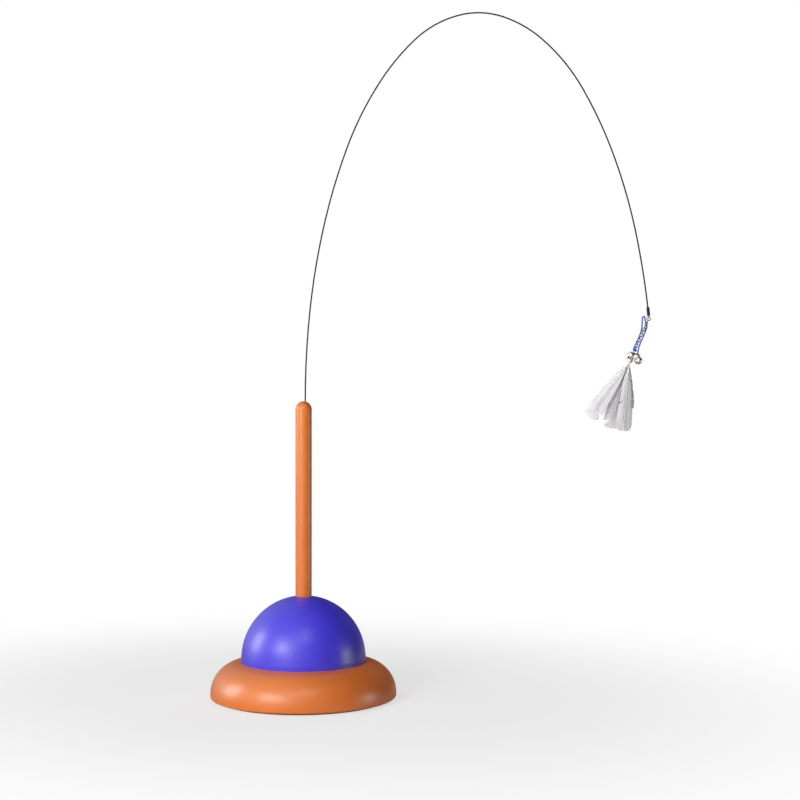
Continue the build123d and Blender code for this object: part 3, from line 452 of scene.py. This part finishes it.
def join(name, pieces):
    """Several meshes as one piece."""
    pick(*pieces)
    bpy.ops.object.join()
    joined = bpy.context.view_layer.objects.active
    joined.name = name
    return joined


def curve_piece(name, points, nurbs, cyclic=False):
    """A curve on its points, with no thickness yet."""
    data = bpy.data.curves.new(name, "CURVE")
    data.dimensions = "3D"
    spline = data.splines.new("NURBS" if nurbs else "POLY")
    spline.points.add(len(points) - 1)
    for point, place in zip(spline.points, points):
        point.co = (*place, 1.0)
    spline.order_u = 3
    spline.use_endpoint_u = not cyclic
    spline.use_cyclic_u = cyclic
    piece = bpy.data.objects.new(name, data)
    bpy.context.scene.collection.objects.link(piece)
    return piece


def line_of(piece):
    """Points along a curve that has no thickness."""
    mesh = bpy.data.meshes.new_from_object(piece.evaluated_get(bpy.context.evaluated_depsgraph_get()))
    points = [v.co.copy() for v in mesh.vertices]
    bpy.data.meshes.remove(mesh)
    return points


def tube(name, points, radius, nurbs=False, cyclic=False, radii=()):
    """Round tube along points, closed at its ends; radii are shares of its radius at the points."""
    piece = curve_piece(name, points, nurbs, cyclic)
    piece.data.bevel_depth = radius
    piece.data.bevel_resolution = tube_detail
    piece.data.use_fill_caps = not cyclic
    for point, share in zip(piece.data.splines[0].points, radii):
        point.radius = share
    pick(piece)
    bpy.ops.object.convert(target="MESH")
    bpy.ops.object.shade_smooth()
    return bpy.context.view_layer.objects.active


# Dome's foot

def foot_line():
    """Fine moulded edge round the dome, where its curve meets its straight foot."""
    radius, height = foot_profile[0]
    piece = primitive("foot_line", bpy.ops.mesh.primitive_circle_add, vertices=foot_sides, radius=radius)
    bpy.ops.object.mode_set(mode="EDIT")
    bpy.ops.mesh.select_all(action="SELECT")
    bpy.ops.transform.translate(value=(0.0, 0.0, height))
    for before, after in zip(foot_profile, (*foot_profile[1:], foot_profile[0])):
        bpy.ops.mesh.extrude_region()
        growth = after[0] / before[0]
        bpy.ops.transform.resize(value=(growth, growth, 1.0), center_override=(0.0, 0.0, 0.0))
        bpy.ops.transform.translate(value=(0.0, 0.0, after[1] - before[1]))
    bpy.ops.mesh.select_all(action="SELECT")
    bpy.ops.mesh.remove_doubles(threshold=merge_distance)
    bpy.ops.mesh.normals_make_consistent(inside=False)
    bpy.ops.object.mode_set(mode="OBJECT")
    bpy.ops.object.shade_smooth_by_angle(angle=radians(foot_crease))
    piece.data.materials.append(finishes["dome_purple"])
    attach(piece, "base")


foot_line()


# Cord and knot

def twisted(points, strand, offset):
    """Route of one strand of a twisted cord, from the cord's own line."""
    route = []
    normal = Vector((0.0, 1.0, 0.0))
    run = 0.0
    for index, point in enumerate(points):
        before = points[max(index - 1, 0)]
        after = points[min(index + 1, len(points) - 1)]
        heading = (after - before).normalized()
        normal = (normal - heading * normal.dot(heading)).normalized()
        run += (point - before).length
        turn = 2 * pi * (run / cord_lay + strand / cord_strands)
        route.append(point + (normal * cos(turn) + heading.cross(normal) * sin(turn)) * offset)
    return route


def twisted_cord():
    """Twisted cord from the knot, round the top of the chain and down to the right bell."""
    places = [lure_place @ (Vector((x, y, -depth)) / millimetres) for x, y, depth in cord_route]
    line = curve_piece("cord_line", places, nurbs=True)
    points = line_of(line)
    bpy.data.objects.remove(line)
    offset = cord_radius * strand_offset_share
    radius = cord_radius * strand_radius_share
    strands = [tube("cord_strand", twisted(points, strand, offset), radius)
               for strand in range(cord_strands)]
    cord = join("twisted_cord", strands)
    cord.data.materials.append(finishes["cord_blue"])
    return cord, points


def tied_knot():
    """Trefoil knot of the cord at the foot of the chain."""
    places = []
    for index in range(knot_points):
        turn = 2 * pi * index / knot_points
        reach = knot_ring + knot_wind * cos(knot_winds * turn)
        height = knot_wind * sin(knot_winds * turn) - knot_depth
        round_turn = knot_rounds * turn
        places.append(lure_place @ Vector((reach * cos(round_turn), reach * sin(round_turn), height)))
    trefoil = tube("knot_turns", places, knot_radius, nurbs=True, cyclic=True)
    bow = [lure_place @ Vector((0.0, y * loop_reach, z * loop_reach - loop_depth)) for y, z in loop_shares]
    knot = join("tied_knot", [trefoil, tube("knot_loop", bow, loop_radius, nurbs=True)])
    knot.data.materials.append(finishes["cord_blue"])
    return knot


cord, cord_line = twisted_cord()
knot = tied_knot()
for piece, node in ((cord, "lure_cord"), (knot, "cord_knot")):
    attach(piece, "lure")
    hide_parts(node)
cord_length = sum((b - a).length for a, b in zip(cord_line, cord_line[1:]))


# Feathers

def vane_edge(length, width):
    """Edge of a half vane from its root to the middle of its tip, as points beside and below the root."""
    corners = [Vector((quill_radius, vane_start_share * length))]
    corners += [Vector((half * width, place * length))
                for half, place in zip(vane_half_shares, vane_place_shares)]
    corners += [Vector((0.0, length))]
    ends = [2 * corners[0] - corners[1], *corners, Vector((-corners[-2].x, corners[-2].y))]
    edge = [corners[0]]
    for before, first, second, after in zip(ends, ends[1:], ends[2:], ends[3:]):
        # handles of the smooth curve that passes through every corner
        leave = first + (second - before) / 6
        arrive = second - (after - first) / 6
        stretch = [corner.to_3d() for corner in (first, leave, arrive, second)]
        edge += [point.xy for point in interpolate_bezier(*stretch, vane_edge_steps)[1:]]
    return edge


def point_along(edge, share):
    """Point at a share of the edge's length."""
    runs = [(b - a).length for a, b in zip(edge, edge[1:])]
    left = share * sum(runs)
    for start, end, run in zip(edge, edge[1:], runs):
        if left <= run:
            return start.lerp(end, left / run)
        left -= run
    return edge[-1]


def barb_group(name, side, low, high, edge, length, roll, bow, draw):
    """Barbs of one side of a vane that still hold together: a sheet whose rows are barbs."""
    rows = max(round((high - low) * barb_rows), 2)
    sheet = primitive(name, bpy.ops.mesh.primitive_grid_add,
                      x_subdivisions=barb_columns, y_subdivisions=rows, size=1.0)
    gather = draw.uniform(*barb_gather_shares)
    tilt = tan(roll) + draw.uniform(-barb_tilt, barb_tilt)
    reach = [draw.uniform(*barb_reach_shares) for row in range(rows + 1)]
    spots = []
    for vertex in sheet.data.vertices:
        # the unit grid is centred, so a half is added: shares of the way along the barb and the group
        across = vertex.co.x + 0.5
        through = vertex.co.y + 0.5
        row = round(through * rows)
        along = low + (high - low) * through
        closed = along + ((low + high) / 2 - along) * gather * across ** 2
        tip = point_along(edge, closed)
        root = (vane_start_share + along * (quill_end_share - vane_start_share)) * length
        x = tip.x * across * reach[row]
        down = root + (tip.y - root) * across ** barb_sweep * reach[row]
        curve = bow * (down / length) ** 2 + vane_camber * across ** 2
        vertex.co = (side * x, curve - side * x * tilt - barb_rise * (row % 2) * across, -down)
        spots.append((across, along))
    for loop, corner in zip(sheet.data.loops, sheet.data.uv_layers.active.data):
        corner.uv = spots[loop.vertex_index]
    thick = sheet.modifiers.new("thickness", "SOLIDIFY")
    thick.thickness = vane_thickness
    thick.offset = 0.0
    bpy.ops.object.modifier_apply(modifier=thick.name)
    bpy.ops.object.shade_smooth()
    return sheet


def half_vane(name, side, length, width, roll, bow, splits, draw):
    """One side of a feather's vane, in groups of barbs between the splits."""
    edge = vane_edge(length, width)
    bounds = [0.0, *splits, 1.0]
    groups = [barb_group(name, side, low, high, edge, length, roll, bow, draw)
              for low, high in zip(bounds, bounds[1:])]
    vane = join(name, groups)
    vane.data.materials.append(finishes["feather_white"])
    return vane


def quill(name, length, bow):
    """Tapered quill from inside the cap to near the feather's tip."""
    points = []
    radii = []
    for step in range(quill_steps + 1):
        along = -quill_inset + (quill_end_share * length + quill_inset) * step / quill_steps
        points.append(Vector((0.0, bow * (max(along, 0.0) / length) ** 2, -along)))
        radii.append(1 + (quill_tip_radius / quill_radius - 1) * step / quill_steps)
    stem = tube(name, points, quill_radius, radii=radii)
    stem.data.materials.append(quill_white)
    return stem


def plume(node, length, width, lean, roll, depth, bow, left_splits, right_splits):
    """Whole feather: two half vanes on a quill, placed in the cap's mouth."""
    draw = random.Random(node)
    turn = radians(roll)
    pieces = [half_vane(node + "_left", -1, length, width, turn, bow, left_splits, draw),
              half_vane(node + "_right", 1, length, width, turn, bow, right_splits, draw),
              quill(node + "_quill", length, bow)]
    piece = join(node.replace("feather", "plume"), pieces)
    mouth = Matrix.Translation((0.0, depth, -cap_end))
    piece.data.transform(lure_place @ mouth @ Matrix.Rotation(radians(lean), 4, "Y"))
    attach(piece, "lure")
    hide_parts(node)


for node, sizes in feathers.items():
    plume(node, *sizes)


# Stage

def floor():
    """Pale floor that keeps the toy's shadow and is as white as the backdrop further off."""
    piece = primitive("floor", bpy.ops.mesh.primitive_plane_add, size=floor_size)
    f = material("floor_pale")
    seen = f.ray("Is Camera Ray")
    distance = (f.axis("X") ** 2 + f.axis("Y") ** 2) ** 0.5
    near = distance.smooth(floor_far, floor_near)
    share = (1 - near * (1 - floor_white_share)) * seen
    face = f.blend(seen, (*floor_bounce, 1.0), (*floor_seen, 1.0))
    lit = f.node("ShaderNodeBsdfDiffuse", None, {"Color": face})
    plain = f.node("ShaderNodeEmission", None, {"Color": white})
    f.end(f.node("ShaderNodeMixShader", None, {0: share, 1: lit, 2: plain}))
    piece.data.materials.append(f.holder)


def backdrop():
    """White to the camera; in reflections and on matt surfaces, light that falls off to the right."""
    world = bpy.data.worlds.new("studio")
    bpy.context.scene.world = world
    f = Finish(world)
    heading = f.place("Generated")
    side = f.axis("X", heading) * dark_heading[0] + f.axis("Y", heading) * dark_heading[1]
    right = side.smooth(-dark_edge, dark_edge)
    shade, mirrored = (f.blend(right, (*bright, 1.0), (*dark, 1.0))
                       for bright, dark in (shade_light, mirror_light))
    tone = f.blend(f.ray("Is Glossy Ray"), shade, mirrored)
    seen = f.ray("Is Camera Ray") + f.ray("Is Transmission Ray")
    tone = f.blend(seen, tone, white)
    f.end(f.node("ShaderNodeBackground", None, {"Color": tone}), "ShaderNodeOutputWorld")


def lamp(name, kind, place, aim, power):
    """A light at a place, turned to its aim, that the camera doesn't see."""
    data = bpy.data.lights.new(name, kind)
    data.energy = power
    piece = bpy.data.objects.new(name, data)
    bpy.context.scene.collection.objects.link(piece)
    piece.location = place
    piece.rotation_euler = (Vector(place) - Vector(aim)).to_track_quat("Z", "Y").to_euler()
    piece.visible_camera = False
    return piece


def lights():
    """Broad lights for the shading, softboxes for the highlights and two small lights on the lure."""
    for name, (place, size, power) in broad_lights.items():
        light = lamp(name, "AREA", place, broad_aim, power)
        light.data.size = size
        light.visible_glossy = False
    for name, (point, direction, width, height, power) in softboxes.items():
        place = Vector(point) + Vector(direction).normalized() * softbox_distance
        box = lamp(name, "AREA", place, point, power)
        box.data.shape = "RECTANGLE"
        box.data.size = width
        box.data.size_y = height
        box.visible_diffuse = False
    for name, (place, power) in lure_lights.items():
        spot = lamp(name, "SPOT", place, lure_light_aim, power)
        spot.data.spot_size = radians(lure_light_cone)
        spot.data.shadow_soft_size = lure_light_radius


def camera():
    """Level camera at the photograph's viewing angle."""
    data = bpy.data.cameras.new("camera")
    data.lens = camera_lens
    data.sensor_width = camera_sensor
    piece = bpy.data.objects.new("camera", data)
    bpy.context.scene.collection.objects.link(piece)
    piece.location = camera_place
    piece.rotation_euler = (radians(level), 0.0, 0.0)
    bpy.context.scene.camera = piece


floor()
backdrop()
lights()
camera()
bpy.context.scene.view_settings.view_transform = "Standard"
